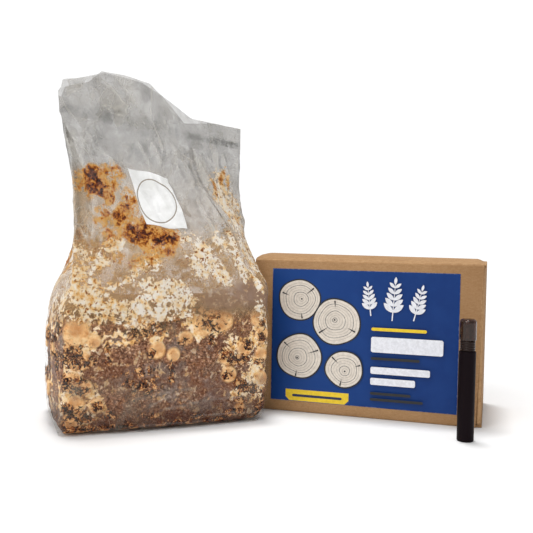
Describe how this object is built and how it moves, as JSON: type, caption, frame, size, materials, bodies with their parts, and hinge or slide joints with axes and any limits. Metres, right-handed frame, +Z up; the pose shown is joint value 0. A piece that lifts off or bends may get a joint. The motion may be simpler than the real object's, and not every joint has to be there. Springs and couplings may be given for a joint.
{
  "type": "shiitake grow kit",
  "caption": "Mycelium fruiting block in a gusseted clear film bag with a white breather patch, beside its closed kraft mailer and a slim capped mist sprayer.",
  "frame": {"origin": "on the floor, under the middle of the box round the bag, the mailer and the sprayer", "axes": "X runs from the bag to the mailer and sprayer, Y goes away from the viewer, Z is up"},
  "size_m": [0.4682, 0.2376, 0.3296],
  "materials": {
    "mycelium": "rough, cream knots on brown sawdust",
    "film": "clear crumpled plastic film",
    "breather_paper": "matt white",
    "kraft_board": "unbleached fluted board",
    "label": "satin print",
    "charcoal_plastic": "satin charcoal",
    "smoke_plastic": "smoky translucent"
  },
  "bodies": {
    "root": {"fruiting_block": "mycelium", "grow_bag": "film", "filter_patch": "breather_paper", "carton_tray": "kraft_board", "carton_lid": "kraft_board", "carton_label": "label", "sprayer_bottle": "charcoal_plastic", "sprayer_pump": "smoke_plastic", "sprayer_cap": "smoke_plastic"}
  },
  "joints": []
}
